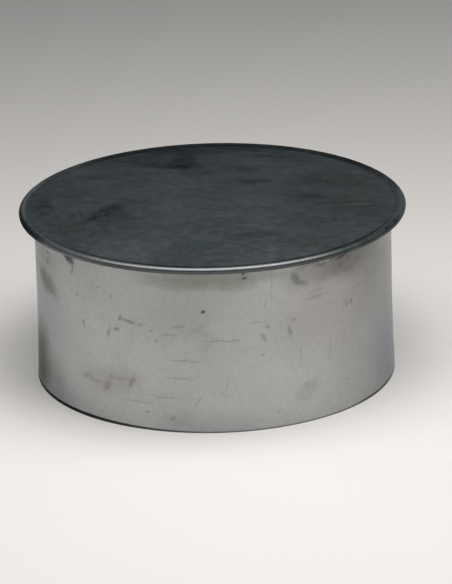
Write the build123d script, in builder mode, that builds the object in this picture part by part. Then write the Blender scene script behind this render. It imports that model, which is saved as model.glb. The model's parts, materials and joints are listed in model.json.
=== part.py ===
from build123d import *
import math
import os

# Round duct end cap of galvanised sheet steel, standing on its open edge.
# A rolled collar slips over the end of a round duct. Its strip is closed by a joggled,
# spot-welded lap at the back, and the flange turned out at its top is gripped in the
# folded rim of a flat end disc.
# Millimetres, +Z up, origin at the centre of the open edge.

# Duct and fit
duct_diameter = 152.4  # outside of the duct that the collar goes over
slip_clearance = 0.4  # room all round between the duct and the collar

# Collar
cap_height = 75.0  # open edge to the flat of the end disc
collar_sheet = 0.6
bend_radius = 0.8  # inside of the bend between wall and flange
flare_height = 45.0  # length of wall that opens out towards the mouth
flare_rise = 0.9  # how far the mouth opens out

# Lap seam of the collar
seam_angle = 90.0  # where the seam stands, in degrees from +X towards +Y
lap_width = 12.0
joggle_width = 2.2  # length of sheet that steps out by one thickness
notch_gap = 1.5  # top edge of the lap to the rim above it
weld_count = 3
weld_diameter = 4.4
weld_depth = 0.15

# End disc and its folded rim
disc_sheet = 0.6
grip_width = 2.0  # width over which the disc lies flat on both faces of the flange
leg_clearance = 0.3  # bend of the collar to the folded-under edge of the disc
bulge_run = 2.0  # width over which the sheet rises from the grip to the fold
bulge_rise = 0.5  # how far it rises
fold_clearance = 0.1  # edge of the flange to the start of the fold

# Radii and heights that follow from the sizes above
bore_radius = duct_diameter / 2 + slip_clearance
wall_radius = bore_radius + collar_sheet
leg_radius = wall_radius + bend_radius + leg_clearance
fold_centre = leg_radius + grip_width + bulge_run
flange_radius = fold_centre - fold_clearance
fold_radius = collar_sheet / 2 + bulge_rise
flange_top = cap_height - disc_sheet
flange_bottom = flange_top - collar_sheet
outer_bend = bend_radius + collar_sheet
bend_start = flange_top - outer_bend
lap_top = flange_bottom - disc_sheet - bulge_rise - notch_gap
lap_arc = math.degrees(lap_width / wall_radius)
lap_start = seam_angle - lap_arc / 2
joggle_arc = math.degrees(joggle_width / wall_radius)

# The sheet rises to the fold in two equal arcs, one hollow and one full
swell_radius = (bulge_run**2 + bulge_rise**2) / (4 * bulge_rise)
swell_arc = math.degrees(math.asin(bulge_run / (2 * swell_radius)))

# The flare is an arc that leaves the straight wall without a kink
flare_radius = (flare_height**2 + flare_rise**2) / (2 * flare_rise)
flare_centre = bore_radius + flare_radius


def meridian(angle):
    """Upright plane through the axis, with local X outwards at this angle and local Y up."""
    outwards = Vector(1, 0, 0).rotate(Axis.Z, angle)
    sideways = Vector(0, -1, 0).rotate(Axis.Z, angle)
    return Plane(origin=(0, 0, 0), x_dir=outwards, z_dir=sideways)


def wall_point(stand_off, height):
    """Point at a height on the face of the wall that stands off the bore by this much."""
    below = max(flare_height - height, 0)
    radius = flare_radius - stand_off
    return (flare_centre - math.sqrt(radius**2 - below**2), height)


def wall_face(stand_off, top):
    """One face of the wall from mouth to top, for an open BuildLine."""
    ThreePointArc(
        wall_point(stand_off, 0),
        wall_point(stand_off, flare_height / 2),
        wall_point(stand_off, flare_height),
    )
    Line(wall_point(stand_off, flare_height), wall_point(stand_off, top))


def ply_section(angle, stand_off):
    """Section of one ply of the lap, from the mouth up to the notch below the rim."""
    outer_face = stand_off + collar_sheet
    with BuildSketch(meridian(angle)) as section:
        with BuildLine():
            wall_face(stand_off, lap_top)
            wall_face(outer_face, lap_top)
            Line(wall_point(stand_off, 0), wall_point(outer_face, 0))
            Line(wall_point(stand_off, lap_top), wall_point(outer_face, lap_top))
        make_face()
    return section.sketch


def disc_line(stand_off):
    """One face of the disc from its centre to its folded-under edge, for an open BuildLine."""
    top = flange_top + stand_off
    plate = Line((0, top), (leg_radius + grip_width, top))
    rise = JernArc(plate @ 1, (1, 0), swell_radius - stand_off, swell_arc)
    crest = JernArc(rise @ 1, rise % 1, swell_radius + stand_off, -swell_arc)
    fold = JernArc(crest @ 1, (1, 0), fold_radius + stand_off, -180)
    under = JernArc(fold @ 1, (-1, 0), swell_radius + stand_off, -swell_arc)
    settle = JernArc(under @ 1, under % 1, swell_radius - stand_off, swell_arc)
    Line(settle @ 1, (leg_radius, flange_bottom - stand_off))


# Collar: flared wall and outward flange, revolved
with BuildPart() as collar:
    with BuildSketch(Plane.XZ):
        with BuildLine():
            wall_face(0, bend_start)
            top_bend = JernArc(wall_point(0, bend_start), (0, 1), outer_bend, -90)
            Line(top_bend @ 1, (flange_radius, flange_top))
            Line((flange_radius, flange_top), (flange_radius, flange_bottom))
            under_bend = JernArc((wall_radius, bend_start), (0, 1), bend_radius, -90)
            Line((flange_radius, flange_bottom), under_bend @ 1)
            wall_face(collar_sheet, bend_start)
            Line(wall_point(0, 0), wall_point(collar_sheet, 0))
        make_face()
    revolve(axis=Axis.Z)

    # The strip steps out by one thickness, and its last stretch lies on its first
    past_wall = 2 * (wall_radius + flare_rise)
    with BuildSketch(meridian(lap_start - joggle_arc)):
        Rectangle(past_wall, lap_top, align=Align.MIN)
    revolve(axis=Axis.Z, revolution_arc=joggle_arc, mode=Mode.SUBTRACT)
    outer_ply = ply_section(lap_start, collar_sheet)
    loft([ply_section(lap_start - joggle_arc, 0), outer_ply], ruled=True)
    add(outer_ply)
    revolve(axis=Axis.Z, revolution_arc=lap_arc)

    # Shallow dishes that the welding tips leave on both faces of the lap
    tip_radius = ((weld_diameter / 2) ** 2 + weld_depth**2) / (2 * weld_depth)
    outer_tip = wall_radius + collar_sheet - weld_depth + tip_radius
    inner_tip = bore_radius + weld_depth - tip_radius
    for row in range(weld_count):
        height = lap_top * (row + 0.5) / weld_count
        flared = wall_point(0, height)[0] - bore_radius
        for reach in (outer_tip + flared, inner_tip + flared):
            with Locations(meridian(seam_angle).from_local_coords((reach, height, 0))):
                Sphere(tip_radius, mode=Mode.SUBTRACT)
collar.part.label = "collar"

# End disc: flat sheet whose edge is folded over, round and under the collar's flange
with BuildPart() as end_disc:
    with BuildSketch(Plane.XZ):
        with BuildLine():
            disc_line(0)
            disc_line(disc_sheet)
            Line((0, flange_top), (0, cap_height))
            Line((leg_radius, flange_bottom), (leg_radius, flange_bottom - disc_sheet))
        make_face()
    revolve(axis=Axis.Z)
end_disc.part.label = "end_disc"

os.makedirs("parts", exist_ok=True)
export_step(collar.part, "parts/collar.step")
export_step(end_disc.part, "parts/end_disc.step")
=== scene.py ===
import json
import math

import bpy
from bpy.props import FloatProperty, FloatVectorProperty, IntProperty, PointerProperty
from mathutils import Matrix, Vector


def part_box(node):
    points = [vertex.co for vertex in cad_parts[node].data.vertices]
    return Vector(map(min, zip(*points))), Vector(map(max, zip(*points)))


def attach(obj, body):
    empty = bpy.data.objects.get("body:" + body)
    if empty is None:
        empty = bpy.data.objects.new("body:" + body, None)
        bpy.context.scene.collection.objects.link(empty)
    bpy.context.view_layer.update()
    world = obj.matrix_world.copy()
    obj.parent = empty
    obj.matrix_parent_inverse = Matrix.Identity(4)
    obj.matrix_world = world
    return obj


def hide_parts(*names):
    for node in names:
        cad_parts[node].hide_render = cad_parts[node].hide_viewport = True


bl_info = {
    "name": "Round duct end cap",
    "version": (1, 0, 0),
    "blender": (4, 5, 0),
    "location": "3D View > Sidebar > Duct cap",
    "description": "Dresses a duct end cap in galvanised sheet steel and sets up its studio",
    "category": "Object",
}

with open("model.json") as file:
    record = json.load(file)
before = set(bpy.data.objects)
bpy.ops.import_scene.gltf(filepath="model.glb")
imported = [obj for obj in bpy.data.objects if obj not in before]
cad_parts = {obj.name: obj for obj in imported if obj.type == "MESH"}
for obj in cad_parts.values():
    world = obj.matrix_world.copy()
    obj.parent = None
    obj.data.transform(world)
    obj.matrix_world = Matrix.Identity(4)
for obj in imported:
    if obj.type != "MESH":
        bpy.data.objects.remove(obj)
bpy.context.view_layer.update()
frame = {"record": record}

MM = 0.001
BODY = "root"

# Sizes that the frame gives
socket = next(m for m in frame["record"]["mounts"] if m["name"] == "duct_socket")
SOCKET_RADIUS = socket["dims"]["r_mm"] * MM
RIM_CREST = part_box("end_disc")[1].z
FLANGE_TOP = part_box("collar")[1].z

# Columns of the collar's grid, from the start of the strip to the end of its lap
LAP_COLUMNS = 22
RING_COLUMNS = 330
JOGGLE_COLUMNS = 6
# Rows of the collar's grid, from the mouth to the flange's edge
FLARE_ROWS = 50
WALL_ROWS = 30
NOTCH_ROWS = 1
HEAD_ROWS = 3
BEND_ROWS = 8
FLANGE_ROWS = 3
# Columns round the end disc, and its rows from the centre to the folded-under edge
DISC_COLUMNS = 360
PLATE_ROWS = 44
SWELL_ROWS = 8
FOLD_ROWS = 16
LEG_ROWS = 3

NOTCH_RUN = 0.6 * MM  # height over which the joggle's top edge runs back into the ring
PLY_GAP = 0.02 * MM  # air between the two plies of the lap
SAME_POINT = 0.002 * MM  # points nearer than this are one point
CREASE = math.radians(35)  # edges sharper than this aren't shaded smooth
WAVE_BREADTH = 40 * MM  # of the slow waves in the collar's wall
STIFF_HEIGHT = 0.7  # share of the wall's height above which the flange stiffens it
HOLLOW_BREADTH = 70 * MM  # of the hollows in the end disc's plate
HOLLOW_BIAS = 0.62  # noise below this value makes a hollow, and noise above it a swell
SLACK_RADII = (0.55, 0.93)  # shares of the plate's radius between which its slack dies out

# Photograph's frame, in pixels, and the middle of the cap's open edge in it
PHOTO_WIDTH = 452
PHOTO_HEIGHT = 584
CAP_PIXEL = (216.53, 365.65)
SENSOR = 36.0

# Studio, in metres: reach of the floor each way, sizes of the lamps and where they hang over it
FLOOR_REACH = 4.0
PANEL_SIZE = (1.15, 0.95)
SMALL_LAMP_SIZE = (0.45, 0.4)
PANEL_PLACE = (0.12, -0.12)
RIGHT_LAMP_PLACE = (0.20, -0.15)
LEFT_LAMP_PLACE = (-0.15, -0.15)
# Room, as sines of the angle above the floor: where its pale foot and its dim middle fade out
FOOT_FADE = (0.05, 0.11)
MIDDLE_FADE = (0.30, 0.42)

# Handling marks, with some painted shade and painted reflection, in millimetres: centre, length and
# width, turn in degrees, strength, stain.
# On the collar a centre is the arc from the front towards +X, and the height.
# Clouds are wide and get ragged outlines, and marks are small and get fine ones.
COLLAR_CLOUDS = {
    # The hazes under the rim and by the rust are painted shade of the rim's overhang, partly dirt that
    # gathers there
    "shade and haze under the rim": ((-4, 69), (64, 13), 1, 0.66, "olive"),
    "shade and haze under the rim, right": ((32, 69.5), (46, 7), 0, 0.24, "olive"),
    "dark shade and haze by the rust": ((67, 68), (46, 20), 4, 0.62, "grime"),
    "darkest shade and haze by the rust": ((62, 67.5), (26, 12), 0, 0.36, "grime"),
    "shade and haze right of the rust": ((80, 61), (42, 22), 0, 0.4, "olive"),
    "faint haze, middle": ((-20, 50), (40, 24), 8, 0.14, "olive"),
    "faint haze down the middle": ((-3, 36), (52, 110), 0, 0.1, "olive"),
    "tarnish on the right": ((56, 50), (66, 46), 10, 0.36, "mauve"),
    "tarnish below it": ((62, 22), (50, 26), 0, 0.08, "mauve"),
    # Darker towards the wall's left and right edges: painted reflection of the shaded floor beside the
    # cap, with some tarnish on the right
    "shade and tarnish high on the right": ((87, 54), (56, 40), 0, 0.34, "pewter"),
    "painted reflection, right edge": ((97, 24), (90, 88), 0, 0.5, "pewter"),
    "painted reflection, low on the right": ((101, 17), (46, 58), 0, 0.6, "slate"),
    "painted reflection, left edge": ((-112, 38), (72, 116), 0, 0.52, "slate"),
    "painted reflection, low on the left": ((-96, 4), (66, 24), -4, 0.54, "slate"),
    "stain on the left": ((-93, 52.5), (25, 11), -14, 0.72, "grime"),
    "haze above the stain": ((-92, 63), (22, 10), 0, 0.34, "olive"),
    "tall stain on the left": ((-104, 14), (32, 39), 0, 0.92, "grime"),
    "pale stain beside it": ((-86, 13), (20, 18), 0, 0.3, "olive"),
    "rusty haze": ((-47, 20), (36, 15), 6, 0.24, "rust"),
    "brown haze low down": ((40, 14), (16, 9), 25, 0.28, "olive"),
    "brown haze at the smudge": ((44, 66), (32, 13), 0, 0.4, "olive"),
    "haze above the mouth": ((-16, 6), (14, 8), 0, 0.22, "olive"),
    "film above the mouth": ((0, 4), (56, 14), 0, 0.16, "slate"),
}
COLLAR_MARKS = {
    "drip under the rim": ((-71, 69), (9, 5), -20, 1.0, "soot"),
    "drip's tail": ((-68.5, 65), (8, 1.4), 82, 0.5, "grime"),
    "dot high on the left": ((-89, 66), (2.4, 1.9), 0, 0.8, "grime"),
    "faint dot below it": ((-90, 62), (5, 3), 20, 0.35, "grime"),
    "dot left of centre": ((-53, 60), (2.2, 1.6), 0, 0.35, "grime"),
    "tick": ((-66, 54), (4, 1.4), 30, 0.25, "grime"),
    "tick below": ((-62, 42), (5, 1.6), -70, 0.4, "grime"),
    "scrape": ((-38.5, 47.6), (9, 1.8), -12, 0.65, "rust"),
    "scrape's crook": ((-42, 48.6), (3.4, 1.4), 60, 0.5, "grime"),
    "scrape's end": ((-32, 47), (5, 1.8), 18, 0.5, "rust"),
    "scrape's dot": ((-44, 43), (4, 2), 12, 0.6, "grime"),
    "scrape's tail": ((-48, 41), (6.5, 2), 75, 0.5, "olive"),
    "speck": ((-28, 44.5), (2, 1.4), 0, 0.35, "grime"),
    "speck beside it": ((-20, 43.5), (9, 1), 2, 0.3, "grime"),
    "rays": ((-4, 44), (16, 3), -24, 0.2, "rust"),
    "rays across": ((-7, 47), (14, 3), 38, 0.2, "rust"),
    "dark dot": ((-5, 54.4), (2.4, 1.7), 25, 1.0, "soot"),
    "short line": ((-15.5, 47.4), (8, 1.2), 6, 0.3, "grime"),
    "long line": ((3, 41), (20, 1.0), 0, 0.34, "grime"),
    "patch": ((-4, 39), (10, 6), 30, 0.18, "rust"),
    "line in the middle": ((-13.5, 32), (14, 1.1), -1, 0.33, "grime"),
    "line below it": ((-15, 24), (14, 1.1), 0, 0.3, "grime"),
    "low line": ((-24, 15.5), (17, 1.2), -2, 0.35, "rust"),
    "lower line": ((-33.5, 12), (18, 1.3), -2, 0.3, "rust"),
    "smudge": ((-37, 20.5), (8, 3.2), 62, 0.38, "grime"),
    "smudge to its left": ((-49.5, 16.5), (8, 3.2), 58, 0.34, "grime"),
    "line through the smudges": ((-43, 21), (13, 2), 2, 0.32, "rust"),
    "smudge's streak": ((-56, 17.5), (12, 2.4), -6, 0.32, "rust"),
    "end of the streak": ((-61, 19), (7, 3.4), 20, 0.4, "olive"),
    "low dot": ((-30, 8), (2, 1.6), 0, 0.35, "grime"),
    "low dot by the front": ((-19, 6), (3, 2), 20, 0.35, "grime"),
    "short stroke": ((-8, 14), (7, 1.4), 55, 0.25, "grime"),
    "dot by the rim": ((12.2, 70.6), (1.7, 1.5), 0, 0.8, "soot"),
    "dot under it": ((12.6, 68.5), (2.1, 1.8), 0, 0.75, "soot"),
    "grey smudge": ((35, 65.4), (7, 4.4), -60, 0.5, "grime"),
    "grey smudge's foot": ((38, 62.6), (7, 3), -20, 0.38, "grime"),
    "smear under the rim": ((40, 70), (10, 2.4), 8, 0.5, "rust"),
    "smear beside it": ((47, 69), (9, 3), -12, 0.45, "grime"),
    "rusty spots": ((58.5, 69.2), (7, 2.2), 8, 0.7, "brown"),
    "rusty spots' neighbour": ((64, 67.6), (4, 1.7), 35, 0.45, "brown"),
    "rusty spots' tail": ((59, 65.6), (3.4, 1.6), 60, 0.42, "brown"),
    "rusty spots' fleck": ((62, 70), (4, 1.3), 0, 0.5, "brown"),
    "rusty spots' crumb": ((54, 69.8), (4, 1.3), 20, 0.45, "brown"),
    "spot on the right": ((70, 66), (3, 1.8), 20, 0.3, "brown"),
    "pale streak": ((46, 58), (10, 1.6), 4, 0.3, "rust"),
    "streak below it": ((45, 55), (11, 2.2), 3, 0.32, "olive"),
    "dotted line": ((24, 62), (18, 1.2), 88, 0.17, "grime"),
    "stroke beside it": ((21.5, 57), (9, 1.4), 85, 0.14, "grime"),
    "fine line": ((16.5, 48), (12, 1), 3, 0.22, "grime"),
    "end of the fine line": ((22, 45.8), (3, 2.2), -30, 0.4, "grime"),
    "nick": ((20.4, 41), (5.4, 1.9), -64, 0.42, "grime"),
    "nick on the right": ((32, 42.3), (5, 2), -78, 0.45, "grime"),
    "dot above it": ((34, 47), (2.4, 1.8), 40, 0.4, "grime"),
    "far dot": ((76, 57.5), (2, 1.5), 0, 0.4, "grime"),
    "far dot below": ((70, 53.5), (2, 1.5), 0, 0.3, "grime"),
    "dot at the edge": ((98, 44.6), (2.2, 1.6), 0, 0.5, "grime"),
    "dot on the right": ((62, 47.5), (3.4, 2), 80, 0.4, "grime"),
    "dot right of it": ((65, 48), (3, 1.8), 60, 0.35, "grime"),
    "faint stroke": ((60, 49), (10, 1.4), 88, 0.2, "rust"),
    "stroke low on the right": ((52, 30), (13, 1.5), 84, 0.14, "grime"),
    "stroke right of it": ((60, 32), (12, 1.4), 80, 0.18, "rust"),
    "stroke left of it": ((37, 31), (12, 1.3), 82, 0.2, "rust"),
    "low stroke": ((4, 21), (8, 1.4), 80, 0.25, "slate"),
    "low streak": ((3, 17), (8, 1.6), -20, 0.25, "slate"),
    "low dot on the right": ((26, 7), (3, 2), 0, 0.35, "rust"),
}
# Where the fold's crest is lightened, as rubbed zinc and as a painted highlight where it faces the
# lamps, and where the rim is darkened, as dirt and as painted shade: heading in degrees from +X towards
# +Y, the cosines to it at which this begins and is full, and its share at both
RUBBED_AND_HIGHLIT = {
    "front": (265, 0.68, 0.975, 0.0, 1.0),
    "front left": (226, 0.93, 0.99, 0.0, 0.46),
    "right": (357, 0.95, 1.0, 0.0, 0.38),
    "left": (172, 0.92, 1.0, 0.0, 0.75),
}
SOILED_AND_SHADED = {
    "flank": (270, 0.68, 0.88, 0.08, 1.0),
    "groove": (278, 0.3, 0.75, 0.15, 0.88),
    "outer side": (180, 0.82, 0.97, 0.0, 1.0),
    "back": (78, 0.45, 0.75, 0.0, 1.0),
}
# Bands of that dirt and painted shade, in millimetres: groove and back outwards from the edge of the
# flat plate, outer side outwards from the middle of the fold, and flank up from the crest
GROOVE_BAND = (-2.0, -1.1, 0.2, 1.1)
BACK_BAND = (-1.9, 0.4)
OUTER_BAND = (-0.2, 0.6)
FLANK_BAND = (-0.95, -0.25)
# Share of black, as dirt and painted shade, in each band and on the crest, and of bright zinc where
# it's rubbed and painted as a highlight
GROOVE_DIRT_AND_SHADE = 0.95
BACK_DIRT_AND_SHADE = 0.68
OUTER_DIRT_AND_SHADE = 0.85
FLANK_DIRT_AND_SHADE = 0.62
CREST_DIRT_AND_SHADE = 0.66
CREST_RUBBED_AND_HIGHLIT = 0.6
CREST_START = 0.2 * MM  # from the edge of the flat plate out to where the fold's crest begins
CREST_FULL = 0.6 * MM  # from where it's full out to the middle of the fold
# Dirt and painted shadow along the mouth, the shadow standing for a gap under the edge on the left:
# arcs in millimetres from the front towards +X at which it begins, is full, thins and ends, and its
# strength
MOUTH_DIRT_AND_SHADOW = {
    "left": ((-175, -120, -68, 8), 1.0),
    "right": ((54, 80, 96, 114), 0.5),
}
SHEARED_HEIGHT = 0.4 * MM  # dark steel that the shears have left along the mouth
DIRT_AND_SHADOW_HEIGHT = 0.95 * MM  # how much higher the dirt and painted shadow reach where they're thickest
EDGE_FADE = 0.35 * MM  # height over which both end
EDGE_DARKNESS = 0.62  # how dark the sheared steel is where no dirt lies on it
HEAT_RING = (0.55, 1.9)  # radii between which the weld spots are tinted, as shares of their own
HEAT_TINT = 0.5  # how strong that tint is
INTO_SHEET = 0.2 * MM  # depth in the sheet where the marks of one face end
TOP_FACE = (0.1, 0.3)  # millimetres over the flange at which the marks on the disc begin and are full

# Zinc of both pieces: breadths and heights of its patterns, and what has scratched and dulled it
CLOUD_SIZE = 30 * MM
SWELL_BREADTH = 14 * MM
SWELL_HEIGHT = 0.10 * MM
COLLAR_GRAIN = 0.010 * MM
DISC_GRAIN = 0.012 * MM
SCRATCH_DEPTH = 0.006 * MM
CLOUD_WARMTH = 2.2  # how strongly the clouds and the mottle turn the zinc warm or cool
MOTTLE_WARMTH = 1.6
CLOUD_TONE = 0.32  # how strongly the three patterns make it paler or darker
MOTTLE_TONE = 0.26
GRAIN_TONE = 0.22
SCRATCH_TINT = 0.16  # how strongly scratches, rubs and specks tint the collar, and then the disc
RUB_TINT = 0.1
SPECK_TINT = 0.35
DISC_SCRATCH_TINT = 0.1
CROSSING_TINT = 0.07
DISC_SPECK_TINT = 0.45
COLLAR_UNEVENNESS = 0.16  # how much the mottle and what lies on the zinc roughen it
DIRT_ROUGHNESS = 0.25
DISC_UNEVENNESS = 0.2
MARK_ROUGHNESS = 0.2
CREST_ROUGHNESS = 0.12
STREAK_LENGTH = 34 * MM  # of the wiped film on the disc
STREAK_WIDTH = 11 * MM
DARK_FILM = 0.42  # share of black in it where it's thickest, and of dust
PALE_FILM = 0.3
DARK_FILM_RUN = (-30, 55)  # millimetres from front to back over which the black grows
PALE_FILM_RUN = (-10, 50)  # and from left to right over which the dust does
DARK_FILM_NOISE = (0.46, 0.72)  # values of the noise from none to full of each
PALE_FILM_NOISE = (0.48, 0.28)
SCRATCH_NOISE = (0.68, 0.78)  # values of the noise between which a scratch appears
WORN_NOISE = (0.48, 0.62)  # and between which a worn place does
BROKEN_NOISE = (0.34, 0.56)  # and between which a mark goes from thin to full
MARK_EDGE = (0.15, 0.62)  # shares of a mark's length and width between which it fades out
METAL_IN_DIRT = 0.7  # how metallic the darkest dirt and painted shadow still look
DIRT_LIGHT = (0.02, 0.16)  # brightness of a colour from black, as dirt or painted shade, to clean zinc
DIRT_GLANCE = 0.45  # how much black dirt and painted shade shine at a glance, as a share of what zinc does
ROUGHNESS_RANGE = (0.05, 0.95)
# Defaults of the shared groups' inputs
ORIGIN = (0.0, 0.0, 0.0)
GREY = (0.5, 0.5, 0.5, 1.0)

# On the disc a centre is (x, y), and +y is away from the camera.
DISC_CLOUDS = {
    "dark ground at the back left": ((-26, 62), (96, 30), 0, 0.4, "soot"),
    "dark edge at the back": ((0, 75), (120, 14), 0, 0.48, "soot"),
    "dark ground at the left back": ((-44, 43), (34, 16), 10, 0.32, "soot"),
    "dark ground in the middle back": ((-6, 45), (24, 11), 0, 0.35, "soot"),
    "dark ground at the front left": ((-56, -24), (64, 58), 0, 0.44, "soot"),
    "dark ground on the right": ((47, -6), (60, 64), 0, 0.25, "soot"),
    "dark ground by the rim": ((67, 34), (24, 26), 0, 0.55, "moss"),
    "dark ground at the back right": ((36, 62), (60, 22), -20, 0.32, "soot"),
    "dark tongue": ((-12, 60), (13, 26), -8, 0.6, "soot"),
    "dark blot": ((-14, 52.5), (30, 9), 0, 0.5, "soot"),
    "dark blot to its left": ((-27, 56), (16, 9), 10, 0.2, "soot"),
    "dark streak behind it": ((-31, 64), (22, 7), 16, 0.22, "soot"),
    "olive blot at the back left": ((-47, 54), (18, 12), 20, 0.5, "moss"),
    "dark along the left": ((-64, 26), (22, 38), 30, 0.32, "soot"),
    "dark bar": ((19, 30), (15, 9), 2, 0.5, "soot"),
    "dark bar behind it": ((14, 47), (20, 10), 4, 0.5, "soot"),
    "dark olive band": ((51, 27), (44, 16), -6, 0.6, "moss"),
    "olive band behind it": ((40, 42), (36, 10), -8, 0.4, "dust"),
    "brown on the right": ((64, 4), (46, 66), 10, 0.52, "moss"),
    "dark smear on the right": ((40, 6), (26, 12), 4, 0.28, "soot"),
    "feather": ((-46, -4.5), (38, 10), 57, 0.56, "soot"),
    "feather's lee": ((-43, -10), (26, 16), 52, 0.26, "soot"),
    "dark patch on the left": ((-74, 3), (12, 30), 0, 0.5, "soot"),
    "olive patch": ((-60, -24), (26, 22), 0, 0.35, "moss"),
    "brown patch": ((-60, -40), (22, 16), -30, 0.3, "moss"),
    "dark bar in front": ((20, -41), (30, 8), 4, 0.35, "soot"),
    "dark bar at its left": ((-14, -30), (30, 10), 0, 0.15, "soot"),
    "brown smear in front": ((44, -52), (44, 26), 20, 0.45, "moss"),
    "blue ground in front": ((-22, -46), (76, 36), 0, 0.2, "blue"),
    "blue ground in the middle": ((-6, 8), (60, 40), 0, 0.2, "blue"),
    "blue ground on the right": ((62, 44), (20, 20), 0, 0.25, "blue"),
}
DISC_MARKS = {
    "feather's tip": ((-29, 4), (18, 2.6), 6, 0.4, "soot"),
    "feather's edge": ((-38, 9), (10, 3), 45, 0.55, "soot"),
    "pale streak": ((-52, -12), (24, 1.6), 40, 0.1, "bright"),
    "first hatch": ((-60, -9), (10, 2), -83, 0.5, "soot"),
    "second hatch": ((-56.5, -8), (11, 2), -80, 0.55, "soot"),
    "third hatch": ((-53, -2), (10, 1.8), -85, 0.5, "soot"),
    "fourth hatch": ((-55.5, -16), (9, 2), -70, 0.5, "soot"),
    "fifth hatch": ((-50.5, -10), (10, 1.8), -78, 0.45, "soot"),
    "dot on the left": ((-69.5, -23), (2.6, 3), 0, 0.6, "soot"),
    "dot by the rim": ((-69, -31), (2.6, 3), 0, 0.6, "soot"),
    "dot in the middle": ((-11.8, -9.5), (4, 3), 0, 0.55, "soot"),
    "mark in the middle": ((-0.7, -20), (6, 3), -20, 0.4, "soot"),
    "pale line": ((64, -5), (16, 1.6), 4, 0.25, "bright"),
    "dark line beside it": ((64, -8), (16, 2), 4, 0.35, "soot"),
    "dot beside it": ((70, -14), (5, 4), 0, 0.35, "soot"),
    "dark line": ((14.5, -41), (12, 2.4), 4, 0.35, "soot"),
    "dot in front": ((11, -47), (3, 3), 0, 0.5, "soot"),
    "long curve": ((19, -43.5), (40, 1.8), -21, 0.25, "soot"),
    "dot on the right": ((53, -20), (3, 3), 0, 0.45, "soot"),
    "dot behind": ((-3, 24), (2.6, 3), 0, 0.4, "soot"),
}


def length_property(name, description, default, **limits):
    """A length, in metres."""
    return FloatProperty(name=name, description=description, default=default, unit="LENGTH", **limits)


def angle_property(name, description, degrees):
    """An angle, with its default in degrees."""
    default = math.radians(degrees)
    return FloatProperty(name=name, description=description, default=default, subtype="ANGLE")


def power_property(name, description, default):
    """A lamp's power."""
    return FloatProperty(name=name, description=description, default=default, min=0)


def colour_property(name, description, default):
    """A colour, as red, green and blue."""
    return FloatVectorProperty(
        name=name, description=description, default=default, size=3, min=0, max=1, subtype="COLOR")


class CollarSizes(bpy.types.PropertyGroup):
    """Sizes of the rolled collar."""

    bore_radius: length_property("Bore radius", "Inside of the collar's wall", SOCKET_RADIUS, min=0.01)
    sheet: length_property("Sheet", "Thickness of the collar's sheet", 0.6 * MM, min=0.1 * MM)
    bend_radius: length_property("Bend radius", "Inside of the bend between wall and flange", 0.8 * MM)
    flare_height: length_property(
        "Flare height", "Length of wall that opens out towards the mouth", 45 * MM)
    flare_rise: length_property("Flare rise", "How far the mouth opens out", 0.9 * MM)
    seam_angle: angle_property("Seam angle", "Where the lap seam stands, from +X towards +Y", 90)
    lap_width: length_property("Lap width", "Overlap of the strip's two ends", 12 * MM)
    joggle_width: length_property(
        "Joggle width", "Length of sheet that steps out by one thickness", 2.2 * MM)
    notch_gap: length_property("Notch gap", "Top edge of the lap to the rim above it", 1.5 * MM)
    weld_count: IntProperty(
        name="Weld spots", description="Spot welds up the lap", default=3, min=1)
    weld_diameter: length_property(
        "Weld diameter", "Width of the dish that a welding tip leaves", 4.4 * MM)
    weld_depth: length_property("Weld depth", "Depth of that dish", 0.15 * MM)
    wave: length_property("Wave", "How far rolling leaves the wall from round", 0.14 * MM)


class DiscSizes(bpy.types.PropertyGroup):
    """Sizes of the end disc and its folded rim."""

    sheet: length_property("Sheet", "Thickness of the disc's sheet", 0.6 * MM, min=0.1 * MM)
    leg_clearance: length_property(
        "Leg clearance", "Bend of the collar to the folded-under edge", 0.3 * MM)
    grip_width: length_property(
        "Grip width", "Width over which the disc lies flat on the flange", 2 * MM)
    # A hair under the part's 2 mm, so that the mesh stays inside the box of the part's own facets
    bulge_run: length_property("Bulge run", "Width over which the sheet rises to the fold", 1.97 * MM)
    fold_clearance: length_property(
        "Fold clearance", "Edge of the flange to the start of the fold", 0.1 * MM)
    sag: length_property("Sag", "How far the slack of the plate lets it lie from flat", 0.25 * MM)


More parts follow.
